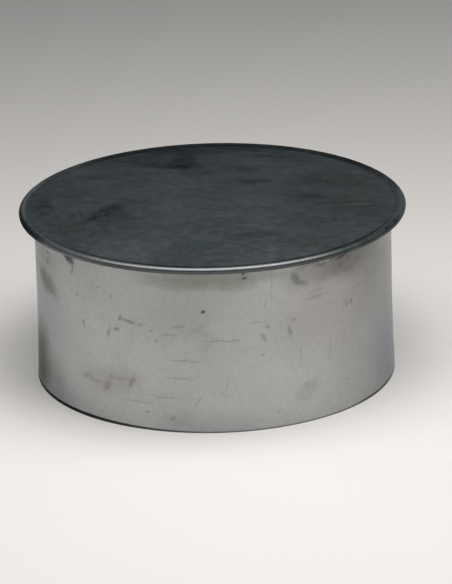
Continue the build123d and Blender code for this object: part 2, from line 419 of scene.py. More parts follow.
class Finish(bpy.types.PropertyGroup):
    """Colours of the zinc coating and of what has marked it, some of which also paint shade, reflection
    and highlight.
    """

    collar_warm: colour_property(
        "Collar, warm", "Clean zinc of the collar where it looks warm", (0.449, 0.4535, 0.447))
    collar_cool: colour_property(
        "Collar, cool", "Clean zinc of the collar where it looks cool", (0.438, 0.4515, 0.451))
    # The disc's two zincs are darker than the collar's as a painted reflection of the dim room above,
    # though the real disc is galvanised like the collar
    disc_warm_dark_reflection: colour_property(
        "Disc, warm", "Weathered zinc of the end disc where it looks warm", (0.197, 0.213, 0.208))
    disc_cool_dark_reflection: colour_property(
        "Disc, cool", "Weathered zinc of the end disc where it looks cool", (0.192, 0.224, 0.234))
    # Olive, slate, pewter and grime also paint shade under the rim and reflection at the wall's edges,
    # besides tarnish and marks
    olive: colour_property("Olive", "Greenish tarnish on the collar", (0.21, 0.21, 0.175))
    slate: colour_property("Slate", "Bluish tarnish on the collar", (0.20, 0.23, 0.27))
    pewter: colour_property("Pewter", "Plain grey tarnish on the collar", (0.225, 0.23, 0.23))
    mauve: colour_property("Mauve", "Reddish tarnish on the collar", (0.335, 0.29, 0.285))
    moss: colour_property("Moss", "Dark olive tarnish on the disc", (0.134, 0.125, 0.094))
    dust: colour_property("Dust", "Pale brown film on the disc", (0.247, 0.22, 0.173))
    blue: colour_property("Blue", "Bluish bloom on the disc", (0.198, 0.25, 0.28))
    brown: colour_property("Brown", "Nearly black rust under the rim", (0.085, 0.05, 0.045))
    grime: colour_property("Grime", "Dark handling marks", (0.085, 0.09, 0.08))
    # Soot also paints the shade on the rim and the shadow under the mouth's edge
    soot: colour_property("Soot", "Black dirt that gathers in grooves", (0.02, 0.026, 0.028))
    rust: colour_property("Rust", "First rust where the zinc is thin", (0.24, 0.195, 0.15))
    # Laid only where the fold faces the lamps, so it is also a painted highlight
    rubbed: colour_property(
        "Rubbed zinc", "Zinc of the fold that handling keeps clean", (0.31, 0.31, 0.305))
    bright: colour_property("Bright zinc", "Zinc that rubbing has made bright", (0.62, 0.63, 0.64))
    roughness: FloatProperty(
        name="Roughness", description="Roughness of clean zinc", default=0.4, min=0, max=1)


class Studio(bpy.types.PropertyGroup):
    """Floor, room, lamps and camera."""

    floor_colour: colour_property("Floor", "Pale paper that the cap stands on", (0.822, 0.79, 0.753))
    room_foot: colour_property("Room, low", "Light from low in the room", (0.72, 0.70, 0.68))
    room_middle: colour_property("Room, middle", "Light that the disc mirrors", (0.155, 0.195, 0.24))
    room_top: colour_property("Room, high", "Light from high in the room", (0.02, 0.02, 0.02))
    panel_power: power_property("Panel power", "Overhead lamp panel, in watts", 4.05)
    right_power: power_property("Right lamp power", "Small lamp on the right, in watts", 1.61)
    left_power: power_property("Left lamp power", "Small lamp on the left, in watts", 1.16)
    panel_height: length_property("Panel height", "Overhead panel above the floor", 0.85)
    small_lamp_height: length_property("Small lamps' height", "Both small lamps above the floor", 0.5)
    camera_distance: length_property("Camera distance", "Camera to the middle of the open edge", 1.8422)
    camera_elevation: angle_property("Camera elevation", "How far the camera looks down", 21.309)
    camera_roll: angle_property("Camera roll", "Turn of the camera about its own axis", -1.512)
    focal_length: FloatProperty(
        name="Focal length", description="Focal length, in millimetres", default=258.9, min=1)


class CapSettings(bpy.types.PropertyGroup):
    """Everything about the cap that a user may change."""

    collar: PointerProperty(type=CollarSizes)
    disc: PointerProperty(type=DiscSizes)
    finish: PointerProperty(type=Finish)
    studio: PointerProperty(type=Studio)


class Field:
    """An output of a node. Sums and products of it add the nodes that work them out."""

    def __init__(self, graph, socket):
        self.graph = graph
        self.socket = socket

    def __add__(self, other):
        return self.graph.math("ADD", self, other)

    def __radd__(self, other):
        return self.graph.math("ADD", other, self)

    def __sub__(self, other):
        return self.graph.math("SUBTRACT", self, other)

    def __rsub__(self, other):
        return self.graph.math("SUBTRACT", other, self)

    def __mul__(self, other):
        return self.graph.math("MULTIPLY", self, other)

    def __truediv__(self, other):
        return self.graph.math("DIVIDE", self, other)

    def __rtruediv__(self, other):
        return self.graph.math("DIVIDE", other, self)


class Graph:
    """A node tree, with short calls for the nodes that this file uses most."""

    def __init__(self, tree):
        self.tree = tree

    def node(self, kind, inputs=None, **settings):
        """Add a node, set it up, and give its inputs a value or a link each."""
        made = self.tree.nodes.new(kind)
        place = len(self.tree.nodes)
        made.location = (220 * (place % 12), -260 * (place // 12))
        for key, value in settings.items():
            setattr(made, key, value)
        for key, value in (inputs or {}).items():
            self.feed(made.inputs[key], value)
        return made

    def made(self, kind, inputs=None, output=0, **settings):
        """Add a node and return one of its outputs."""
        return Field(self, self.node(kind, inputs, **settings).outputs[output])

    def feed(self, entry, value):
        if isinstance(value, Field):
            self.tree.links.new(value.socket, entry)
        else:
            entry.default_value = value

    def math(self, operation, *values):
        return self.made("ShaderNodeMath", dict(enumerate(values)), operation=operation)

    def most(self, *values):
        """The greatest of these values."""
        greatest = values[0]
        for value in values[1:]:
            greatest = self.math("MAXIMUM", greatest, value)
        return greatest

    def vector(self, operation, *values):
        return self.made("ShaderNodeVectorMath", dict(enumerate(values)), operation=operation)

    def length(self, vector):
        return self.made("ShaderNodeVectorMath", {0: vector}, output="Value", operation="LENGTH")

    def scaled(self, vector, factor):
        return self.made("ShaderNodeVectorMath", {"Vector": vector, "Scale": factor}, operation="SCALE")

    def split(self, vector):
        parted = self.node("ShaderNodeSeparateXYZ", {0: vector})
        return [Field(self, part) for part in parted.outputs]

    def join(self, x, y, z):
        return self.made("ShaderNodeCombineXYZ", {0: x, 1: y, 2: z})

    def remap(self, value, low, high, to_low=0.0, to_high=1.0, curve="LINEAR"):
        """Map a range of a value to another range, and stop at its ends."""
        inputs = {0: value, 1: low, 2: high, 3: to_low, 4: to_high}
        return self.made("ShaderNodeMapRange", inputs, interpolation_type=curve)

    def ease(self, value, low, high, to_low=0.0, to_high=1.0):
        """Map a range in the same way, with a soft start and end."""
        return self.remap(value, low, high, to_low, to_high, curve="SMOOTHSTEP")

    def plateau(self, value, begins, full, thins, ends):
        """One between the middle two of these values, and nothing beyond the outer two."""
        return self.ease(value, begins, full) * self.ease(value, thins, ends, 1.0, 0.0)

    def blend(self, share, first, second, mode="MIX"):
        """Mix two colours."""
        inputs = {0: share, 6: first, 7: second}
        return self.made("ShaderNodeMix", inputs, output=2, data_type="RGBA", blend_type=mode)

    def noise(self, vector, size, detail=2.0, roughness=0.5, warp=0.0, output=0):
        """Cloudy pattern whose blots are about this size."""
        inputs = {"Vector": vector, "Scale": 1.0 / size, "Detail": detail,
                  "Roughness": roughness, "Distortion": warp}
        return self.made("ShaderNodeTexNoise", inputs, output)

    def use(self, name, inputs):
        """Place one of the node groups that the cap's materials share, and return its outputs."""
        tree = bpy.data.node_groups.get(name) or SHARED_GROUPS[name]()
        return self.fields(self.node("ShaderNodeGroup", inputs, node_tree=tree))

    def fields(self, node):
        """A node's outputs by their names."""
        return {socket.name: Field(self, socket) for socket in node.outputs}


def colour(rgb):
    return (rgb[0], rgb[1], rgb[2], 1.0)


def new_group(name, inputs, outputs, kind="ShaderNodeTree"):
    """Make a node group. Inputs are {name: default}, and outputs are {name: kind of socket}."""
    tree = bpy.data.node_groups.new(name, kind)
    for label, default in inputs.items():
        size = 1 if isinstance(default, (int, float)) else len(default)
        socket_type = "NodeSocket" + {1: "Float", 3: "Vector", 4: "Color"}[size]
        entry = tree.interface.new_socket(name=label, in_out="INPUT", socket_type=socket_type)
        entry.default_value = default
    for label, output in outputs.items():
        tree.interface.new_socket(name=label, in_out="OUTPUT", socket_type="NodeSocket" + output)
    graph = Graph(tree)
    given = graph.fields(graph.node("NodeGroupInput"))
    return graph, given, graph.node("NodeGroupOutput").inputs


def new_modeller(name, sizes):
    """Make a tree that turns these sizes into a mesh."""
    inputs = dict.fromkeys(sizes, 0.0)
    return new_group(name, inputs, {"Geometry": "Geometry"}, kind="GeometryNodeTree")


def cap_sizes(settings):
    """Sizes in metres that the settings give, by the names that the trees' inputs have."""
    collar, disc = settings.collar, settings.disc
    wall_radius = collar.bore_radius + collar.sheet
    plate_radius = wall_radius + collar.bend_radius + disc.leg_clearance + disc.grip_width
    fold_centre = plate_radius + disc.bulge_run
    bulge_rise = RIM_CREST - FLANGE_TOP - disc.sheet
    rim_underside = FLANGE_TOP - collar.sheet - disc.sheet - bulge_rise
    lap_arc = collar.lap_width / wall_radius
    return {
        "Bore Radius": collar.bore_radius,
        "Collar Sheet": collar.sheet,
        "Wall Radius": wall_radius,
        "Flare Height": collar.flare_height,
        "Flare Rise": collar.flare_rise,
        "Outer Bend": collar.bend_radius + collar.sheet,
        "Bend Start": FLANGE_TOP - collar.bend_radius - collar.sheet,
        "Flange Radius": fold_centre - disc.fold_clearance,
        "Lap Top": rim_underside - collar.notch_gap,
        "Lap Arc": lap_arc,
        "Lap Start": collar.seam_angle - lap_arc / 2,
        "Joggle Arc": collar.joggle_width / wall_radius,
        "Weld Count": collar.weld_count,
        "Weld Radius": collar.weld_diameter / 2,
        "Weld Depth": collar.weld_depth,
        "Wave": collar.wave,
        "Disc Sheet": disc.sheet,
        "Plate Radius": plate_radius,
        "Seat Height": FLANGE_TOP,
        "Sag": disc.sag,
        "Bulge Run": disc.bulge_run,
        "Bulge Rise": bulge_rise,
        "Fold Centre": fold_centre,
        "Fold Radius": collar.sheet / 2 + bulge_rise,
        "Leg Run": disc.grip_width,
    }


def spread(graph, counter, zones):
    """Length covered in each (count, length) zone of a row of points, by a point's number."""
    covered = []
    start = 0
    for count, length in zones:
        covered.append(graph.remap(counter, float(start), float(start + count), 0.0, length))
        start += count
    return covered


def counted_grid(graph, columns, rows):
    """A grid, and fields that give each of its points its column and row number."""
    inputs = {"Size X": float(columns), "Size Y": float(rows),
              "Vertices X": columns + 1, "Vertices Y": rows + 1}
    grid = graph.made("GeometryNodeMeshGrid", inputs, output="Mesh")
    place = graph.split(graph.made("GeometryNodeInputPosition"))
    return grid, place[0] + columns / 2, place[1] + rows / 2


def merged(graph, mesh):
    inputs = {"Geometry": mesh, "Distance": SAME_POINT}
    return graph.made("GeometryNodeMergeByDistance", inputs)


def thickened(graph, surface, thickness):
    """Give a surface the sheet's thickness on the side that its faces point to."""
    inputs = {"Mesh": surface, "Offset Scale": thickness, "Individual": False}
    grown = graph.made("GeometryNodeExtrudeMesh", inputs, output="Mesh", mode="FACES")
    back = graph.made("GeometryNodeFlipFaces", {"Mesh": surface})
    shell = graph.node("GeometryNodeJoinGeometry")
    graph.feed(shell.inputs[0], grown)
    graph.feed(shell.inputs[0], back)
    return merged(graph, Field(graph, shell.outputs[0]))


def finished(graph, mesh, material):
    """End a tree: smooth shading between creases, real instances and the material."""
    smooth = graph.made("GeometryNodeSetShadeSmooth", {"Geometry": mesh, "Shade Smooth": True})
    angle = graph.made("GeometryNodeInputMeshEdgeAngle")
    crease = compared(graph, "GREATER_THAN", angle, CREASE)
    inputs = {"Geometry": smooth, "Selection": crease, "Shade Smooth": False}
    creased = graph.made("GeometryNodeSetShadeSmooth", inputs, domain="EDGE")
    real = graph.made("GeometryNodeRealizeInstances", {"Geometry": creased})
    return graph.made("GeometryNodeSetMaterial", {"Geometry": real, "Material": material})


def chosen(graph, test, value):
    """This value where the test holds, and otherwise none."""
    return graph.made("GeometryNodeSwitch", {0: test, 1: 0.0, 2: value}, input_type="FLOAT")


def compared(graph, operation, value, limit):
    return graph.made("FunctionNodeCompare", {0: value, 1: limit}, operation=operation)


def dished(graph, given, mesh):
    """Press the welding tips' shallow dishes into the two outer faces of the lap."""
    x, y, z = graph.split(graph.made("GeometryNodeInputPosition"))
    radius = graph.length(graph.join(x, y, 0.0))
    mouth = graph.remap(z, 0.0, given["Flare Height"], 1.0, 0.0)
    unflared = radius - given["Flare Rise"] * mouth * mouth
    wall_radius = given["Bore Radius"] + given["Collar Sheet"]
    seam = given["Lap Start"] + given["Lap Arc"] * 0.5
    across = (graph.math("ARCTAN2", y, x) - seam) * wall_radius
    pitch = given["Lap Top"] / given["Weld Count"]
    along = (graph.math("FRACT", z / pitch) - 0.5) * pitch
    apart = graph.length(graph.join(across, along, 0.0)) / given["Weld Radius"]
    hollow = graph.remap(apart * apart, 0.0, 1.0, 1.0, 0.0)
    depth = hollow * given["Weld Depth"]

    # The lap's outer faces lie more than half a sheet outside or inside the joint of its plies
    half_sheet = given["Collar Sheet"] * 0.5
    outside = compared(graph, "GREATER_THAN", unflared, wall_radius + half_sheet)
    inside = compared(graph, "LESS_THAN", unflared, wall_radius - half_sheet)
    pressed = chosen(graph, outside, depth * -1.0) + chosen(graph, inside, depth)
    share = pressed / radius
    below = compared(graph, "LESS_THAN", z, given["Lap Top"])
    inputs = {"Geometry": mesh, "Selection": below, "Offset": graph.join(x * share, y * share, 0.0)}
    return graph.made("GeometryNodeSetPosition", inputs)


def collar_tree(material):
    """Roll a flat strip into the collar: flared wall, flange, joggled lap and weld dishes."""
    names = ("Bore Radius", "Collar Sheet", "Outer Bend", "Bend Start", "Flange Radius", "Lap Top",
             "Flare Height", "Flare Rise", "Lap Start", "Lap Arc", "Joggle Arc",
             "Weld Count", "Weld Radius", "Weld Depth", "Wave")
    graph, given, result = new_modeller("rolled_collar", names)
    columns = 2 * LAP_COLUMNS + RING_COLUMNS + JOGGLE_COLUMNS
    rows = FLARE_ROWS + WALL_ROWS + NOTCH_ROWS + HEAD_ROWS + BEND_ROWS + FLANGE_ROWS
    grid, column, row = counted_grid(graph, columns, rows)

    # The lap's outer ply stops at the notch below the rim
    past_joggle = compared(graph, "GREATER_THAN", column, float(columns - LAP_COLUMNS))
    past_lap_top = compared(graph, "GREATER_THAN", row, float(FLARE_ROWS + WALL_ROWS))
    cut = graph.made("FunctionNodeBooleanMath", {0: past_joggle, 1: past_lap_top}, operation="AND")
    inputs = {"Geometry": grid, "Selection": cut}
    strip = graph.made("GeometryNodeDeleteGeometry", inputs, domain="FACE")

    # Angle round the axis: first ply of the lap, ring, joggle, second ply
    lap_arc, joggle_arc = given["Lap Arc"], given["Joggle Arc"]
    ring_arc = 2 * math.pi - lap_arc - joggle_arc
    zones = ((LAP_COLUMNS, lap_arc), (RING_COLUMNS, ring_arc),
             (JOGGLE_COLUMNS, joggle_arc), (LAP_COLUMNS, lap_arc))
    arcs = spread(graph, column, zones)
    angle = sum(arcs, given["Lap Start"])
    stepped = arcs[2] / joggle_arc

    # Height up the wall, then turn of the bend, then reach of the flange
    bend = given["Outer Bend"]
    wall_run = given["Lap Top"] - given["Flare Height"]
    head_run = given["Bend Start"] - (given["Lap Top"] + NOTCH_RUN)
    flange_run = given["Flange Radius"] - bend - given["Bore Radius"]
    zones = ((FLARE_ROWS, given["Flare Height"]), (WALL_ROWS, wall_run), (NOTCH_ROWS, NOTCH_RUN),
             (HEAD_ROWS, head_run), (BEND_ROWS, math.pi / 2), (FLANGE_ROWS, flange_run))
    flare, wall, notch, head, curl, reach = spread(graph, row, zones)
    height = flare + wall + notch + head
    mouth = graph.remap(height, 0.0, given["Flare Height"], 1.0, 0.0)
    flared = given["Flare Rise"] * mouth * mouth
    below_notch = graph.remap(notch, 0.0, NOTCH_RUN, 1.0, 0.0)
    step = stepped * below_notch * (given["Collar Sheet"] + PLY_GAP)

    # Slow waves that rolling leaves in the wall, dying out at the stiff flange
    cosine, sine = graph.math("COSINE", angle), graph.math("SINE", angle)
    spot = graph.join(cosine * given["Bore Radius"], sine * given["Bore Radius"], height * 0.5)
    waviness = graph.noise(spot, WAVE_BREADTH, detail=1.0) - 0.5
    stiff_height = given["Bend Start"] * STIFF_HEIGHT
    supple = graph.ease(height, stiff_height, given["Bend Start"], 1.0, 0.0)
    wave = waviness * 2.0 * given["Wave"] * supple

    curled = bend * (1.0 - graph.math("COSINE", curl))
    radius = given["Bore Radius"] + flared + step + wave + curled + reach
    rise = height + bend * graph.math("SINE", curl)
    place = graph.join(radius * cosine, radius * sine, rise)
    rolled = graph.made("GeometryNodeSetPosition", {"Geometry": strip, "Position": place})
    sheet = thickened(graph, merged(graph, rolled), given["Collar Sheet"])
    graph.feed(result["Geometry"], finished(graph, dished(graph, given, sheet), material))
    return graph.tree


def disc_tree(material):
    """Spin a section into the end disc: slack plate, swell, fold and folded-under edge."""
    names = ("Disc Sheet", "Plate Radius", "Bulge Run", "Bulge Rise", "Fold Radius", "Leg Run",
             "Seat Height", "Sag")
    graph, given, result = new_modeller("folded_disc", names)
    rows = PLATE_ROWS + 2 * SWELL_ROWS + FOLD_ROWS + LEG_ROWS
    grid, column, row = counted_grid(graph, DISC_COLUMNS, rows)
    angle = column * (-2 * math.pi / DISC_COLUMNS)
    zones = ((PLATE_ROWS, given["Plate Radius"]), (SWELL_ROWS, 1.0), (FOLD_ROWS, math.pi),
             (SWELL_ROWS, 1.0), (LEG_ROWS, given["Leg Run"]))
    plate, swell, curl, settle, leg = spread(graph, row, zones)
    swelled = graph.ease(swell, 0.0, 1.0, 0.0, given["Bulge Rise"])
    settled = graph.ease(settle, 0.0, 1.0, 0.0, given["Bulge Rise"])
    fold = given["Fold Radius"]
    out = plate + swell * given["Bulge Run"]
    reach = out + fold * graph.math("SINE", curl)
    back = settle * given["Bulge Run"] + leg
    radius = reach - back
    dropped = fold * (1.0 - graph.math("COSINE", curl))
    height = given["Seat Height"] + swelled + settled - dropped

    # The plate isn't quite flat, but the collar's flange holds it flat round the edge
    x = radius * graph.math("COSINE", angle)
    y = radius * graph.math("SINE", angle)
    slack_ends = [given["Plate Radius"] * share for share in SLACK_RADII]
    slack = graph.ease(plate, *slack_ends, 1.0, 0.0)
    hollow = graph.noise(graph.join(x, y, 0.01), HOLLOW_BREADTH, detail=1.0) - HOLLOW_BIAS
    lifted = height + hollow * 2.0 * given["Sag"] * slack
    place = graph.join(x, y, lifted)
    spun = graph.made("GeometryNodeSetPosition", {"Geometry": grid, "Position": place})
    sheet = thickened(graph, merged(graph, spun), given["Disc Sheet"])
    graph.feed(result["Geometry"], finished(graph, sheet, material))
    return graph.tree


def grown(name, tree, values):
    """Run a tree with these inputs and keep what it makes as a plain mesh object."""
    piece = bpy.data.objects.new(name, bpy.data.meshes.new(name))
    bpy.context.collection.objects.link(piece)
    modifier = piece.modifiers.new(name, "NODES")
    modifier.node_group = tree
    for item in tree.interface.items_tree:
        if item.item_type == "SOCKET" and item.in_out == "INPUT":
            modifier[item.identifier] = float(values[item.name])
    depsgraph = bpy.context.evaluated_depsgraph_get()
    mesh = bpy.data.meshes.new_from_object(piece.evaluated_get(depsgraph), depsgraph=depsgraph)
    piece.modifiers.clear()
    piece.data = mesh
    mesh.name = name
    if not mesh.polygons:
        raise RuntimeError(name + " came out empty")
    return piece


def wall_place_group():
    """Where a point lies on the wall: arc from the front towards +X, and height."""
    inputs = {"Position": ORIGIN, "Radius": 0.08}
    graph, given, result = new_group("wall_place", inputs, {"Place": "Vector", "Off Axis": "Float"})
    x, y, z = graph.split(given["Position"])
    arc = graph.math("ARCTAN2", x, y * -1.0) * given["Radius"]
    graph.feed(result["Place"], graph.join(arc, z, 0.0))
    graph.feed(result["Off Axis"], graph.length(graph.join(x, y, 0.0)))
    return graph.tree


def ragged_group():
    """Push a place about a little, so that marks drawn there get uneven outlines."""
    inputs = {"Place": ORIGIN, "Reach": 0.001, "Size": 0.003, "Thinnest": 0.35}
    graph, given, result = new_group("ragged_place", inputs, {"Place": "Vector", "Broken": "Float"})
    coarse = graph.noise(given["Place"], given["Size"], detail=3.0, roughness=0.65, output=1)
    swing = graph.vector("SUBTRACT", coarse, (0.5, 0.5, 0.5))
    push = graph.scaled(swing, given["Reach"] * 2.0)
    graph.feed(result["Place"], graph.vector("ADD", given["Place"], push))
    fine = graph.noise(given["Place"], given["Size"] * 0.35, detail=2.0, roughness=0.6)
    graph.feed(result["Broken"], graph.remap(fine, *BROKEN_NOISE, given["Thinnest"], 1.0))
    return graph.tree


def mark_group():
    """Lay one soft oval mark over a colour, and keep the deepest mark so far."""
    inputs = {"Color": GREY, "Cover": 0.0, "Place": ORIGIN,
              "Broken": 1.0, "Centre": ORIGIN, "Size": (1.0, 1.0, 1.0), "Turn": 0.0,
              "Strength": 0.5, "Stain": (0.1, 0.1, 0.1, 1.0)}
    graph, given, result = new_group("placed_mark", inputs, {"Color": "Color", "Cover": "Float"})
    offset = graph.vector("SUBTRACT", given["Place"], given["Centre"])
    inputs = {"Vector": offset, "Angle": given["Turn"] * -1.0}
    turned = graph.made("ShaderNodeVectorRotate", inputs, rotation_type="Z_AXIS")
    apart = graph.length(graph.vector("DIVIDE", turned, given["Size"]))
    oval = graph.ease(apart, *MARK_EDGE, 1.0, 0.0)
    share = oval * given["Strength"] * given["Broken"]
    graph.feed(result["Color"], graph.blend(share, given["Color"], given["Stain"]))
    graph.feed(result["Cover"], graph.most(given["Cover"], share))
    return graph.tree


def zinc_group():
    """Zinc coating: slow warm and cool clouds, a fine mottle and grain."""
    inputs = {"Position": ORIGIN, "Warm": GREY, "Cool": GREY,
              "Cloud Size": 0.03, "Mottle Size": 0.003, "Grain Size": 0.0008, "Contrast": 1.0}
    outputs = {"Color": "Color", "Unevenness": "Float", "Height": "Float"}
    graph, given, result = new_group("zinc_coating", inputs, outputs)
    position = given["Position"]
    cloud = graph.noise(position, given["Cloud Size"], detail=2.0, warp=0.4) - 0.5
    mottle = graph.noise(position, given["Mottle Size"], detail=2.0, roughness=0.6) - 0.5
    grain = graph.noise(position, given["Grain Size"], detail=1.0) - 0.5
    warmth = 0.5 + cloud * CLOUD_WARMTH + mottle * MOTTLE_WARMTH
    tint = graph.blend(graph.remap(warmth, 0.0, 1.0), given["Cool"], given["Warm"])
    swing = cloud * CLOUD_TONE + mottle * MOTTLE_TONE + grain * GRAIN_TONE
    tone = 1.0 + swing * given["Contrast"]
    grey = graph.join(tone, tone, tone)
    graph.feed(result["Color"], graph.blend(1.0, tint, grey, mode="MULTIPLY"))
    graph.feed(result["Unevenness"], cloud * 0.5 + mottle)
    graph.feed(result["Height"], mottle * 0.6 + grain * 0.4)
    return graph.tree


def scratch_group():
    """Fine scratches along one direction, in a few worn places only."""
    inputs = {"Place": ORIGIN, "Length": 0.02, "Width": 0.0005, "Worn Size": 0.03, "Turn": 0.0}
    graph, given, result = new_group("fine_scratches", inputs, {"Scratch": "Float"})
    inputs = {"Vector": given["Place"], "Angle": given["Turn"]}
    turned = graph.made("ShaderNodeVectorRotate", inputs, rotation_type="Z_AXIS")
    along, across = graph.split(turned)[:2]
    stretched = graph.join(along / given["Length"], across / given["Width"], 0.0)
    lines = graph.noise(stretched, 1.0, detail=1.0)
    worn = graph.noise(given["Place"], given["Worn Size"], detail=2.0)
    scratch = graph.ease(lines, *SCRATCH_NOISE) * graph.remap(worn, *WORN_NOISE)
    graph.feed(result["Scratch"], scratch)
    return graph.tree


def speck_group():
    """Small dark specks in a few of the cells of a scattered pattern."""
    inputs = {"Place": ORIGIN, "Spacing": 0.012, "Size": 0.0008, "Amount": 0.3}
    graph, given, result = new_group("specks", inputs, {"Speck": "Float"})
    inputs = {"Vector": given["Place"], "Scale": 1.0 / given["Spacing"], "Randomness": 1.0}
    voronoi = graph.node("ShaderNodeTexVoronoi", inputs, voronoi_dimensions="3D", feature="F1")
    cells = graph.fields(voronoi)
    present_by, size_by, depth_by = graph.split(cells["Color"])
    apart = cells["Distance"] * given["Spacing"]
    own_size = given["Size"] * (0.4 + size_by)
    dot = graph.ease(apart, own_size * 0.4, own_size, 1.0, 0.0)
    present = graph.math("LESS_THAN", present_by, given["Amount"])
    depth = 0.35 + depth_by * 0.65
    graph.feed(result["Speck"], dot * present * depth)
    return graph.tree


# Effects that the cap's materials share, each built when it's first used
SHARED_GROUPS = {
    "wall_place": wall_place_group,
    "ragged_place": ragged_group,
    "placed_mark": mark_group,
    "zinc_coating": zinc_group,
    "fine_scratches": scratch_group,
    "specks": speck_group,
}


class Coat:
    """The colour of a sheet's face, built up on its zinc by one stain over another."""

    def __init__(self, graph, finish, zinc):
        self.graph = graph
        self.finish = finish
        self.colour = zinc

    def stain(self, name, share):
        """Blend in a colour of the finish by this share."""
        self.colour = self.graph.blend(share, self.colour, colour(getattr(self.finish, name)))

    def mark(self, place, marks, reached, reach, size, thinnest=0.35):
        """Lay the listed marks, with outlines as ragged as this, and return how deep they are."""
        ragged = self.graph.use("ragged_place", {
            "Place": place, "Reach": reach, "Size": size, "Thinnest": thinnest})
        broken = ragged["Broken"] * reached
        cover = 0.0
        for centre, extent, turn, strength, stain in marks.values():
            laid = self.graph.use("placed_mark", {
                "Color": self.colour, "Cover": cover, "Place": ragged["Place"], "Broken": broken,
                "Centre": (centre[0] * MM, centre[1] * MM, 0.0),
                "Size": (extent[0] * MM, extent[1] * MM, 1.0), "Turn": math.radians(turn),
                "Strength": strength, "Stain": colour(getattr(self.finish, stain))})
            self.colour, cover = laid["Color"], laid["Cover"]
        return cover


def new_material(name, constants):
    """A material with its graph, its shader and the object's own position."""
    material = bpy.data.materials.new(name)
    material.use_nodes = True
    graph = Graph(material.node_tree)
    shader = next(n for n in material.node_tree.nodes if n.type == "BSDF_PRINCIPLED")
    for label, value in constants.items():
        shader.inputs[label].default_value = value
    position = graph.made("ShaderNodeTexCoord", output="Object")
    return material, graph, shader, position


def plated(graph, shader, tinted, rough, relief):
    """Feed a metal's colour, roughness and relief to its shader. Dark dirt and dark painted shade shine
    less at a glance.
    """
    graph.feed(shader.inputs["Base Color"], tinted)
    light = graph.made("ShaderNodeRGBToBW", {"Color": tinted})
    graph.feed(shader.inputs["Specular Tint"], graph.remap(light, *DIRT_LIGHT, DIRT_GLANCE, 1.0))
    graph.feed(shader.inputs["Roughness"], graph.remap(rough, *ROUGHNESS_RANGE, *ROUGHNESS_RANGE))
    bump = graph.made("ShaderNodeBump", {"Height": relief, "Strength": 1.0, "Distance": 1.0})
    graph.feed(shader.inputs["Normal"], bump)


def zinc_coated(graph, position, warm, cool, mottle, grain, contrast):
    """Zinc between a warm and a cool colour, with mottle and grain of these sizes."""
    return graph.use("zinc_coating", {
        "Position": position, "Warm": colour(warm), "Cool": colour(cool), "Cloud Size": CLOUD_SIZE,
        "Mottle Size": mottle, "Grain Size": grain, "Contrast": contrast})


def scratched(graph, place, length, width, worn, turn):
    """Fine scratches of this length and width at a turn in radians, in worn places of this size."""
    return graph.use("fine_scratches", {
        "Place": place, "Length": length, "Width": width, "Worn Size": worn, "Turn": turn})["Scratch"]


def specked(graph, position, spacing, size):
    """Small specks, scattered at about this spacing."""
    return graph.use("specks", {"Place": position, "Spacing": spacing, "Size": size})["Speck"]


def band(datum, offsets):
    """Places in metres that lie these millimetres from a datum."""
    return [datum + offset * MM for offset in offsets]


def heat_rings(graph, collar, sizes, arc, height):
    """Heat rings round the weld spots, in the middle of the lap at the back."""
    to_seam = math.pi * sizes["Wall Radius"] - graph.math("ABSOLUTE", arc)
    pitch = sizes["Lap Top"] / collar.weld_count
    to_spot = (graph.math("FRACT", height / pitch) - 0.5) * pitch
    from_weld = graph.length(graph.join(to_seam, to_spot, 0.0))
    radius = collar.weld_diameter / 2
    ring = graph.plateau(from_weld, radius * HEAT_RING[0], radius, radius, radius * HEAT_RING[1])
    below = graph.remap(height, sizes["Lap Top"] - INTO_SHEET, sizes["Lap Top"], 1.0, 0.0)
    return ring * below * HEAT_TINT


def mouth_edge(graph, arc, height):
    """Darker steel of the sheared edge at the mouth, and the dirt and painted shadow over it."""
    dirt_and_shade = 0.0
    for stretch, strength in MOUTH_DIRT_AND_SHADOW.values():
        patch = graph.plateau(arc, *band(0.0, stretch)) * strength
        dirt_and_shade = graph.most(dirt_and_shade, patch)
    top = SHEARED_HEIGHT + dirt_and_shade * DIRT_AND_SHADOW_HEIGHT
    edge = graph.ease(height, top, top + EDGE_FADE, 1.0, 0.0)
    return edge * graph.remap(dirt_and_shade, 0.0, 1.0, EDGE_DARKNESS, 1.0)


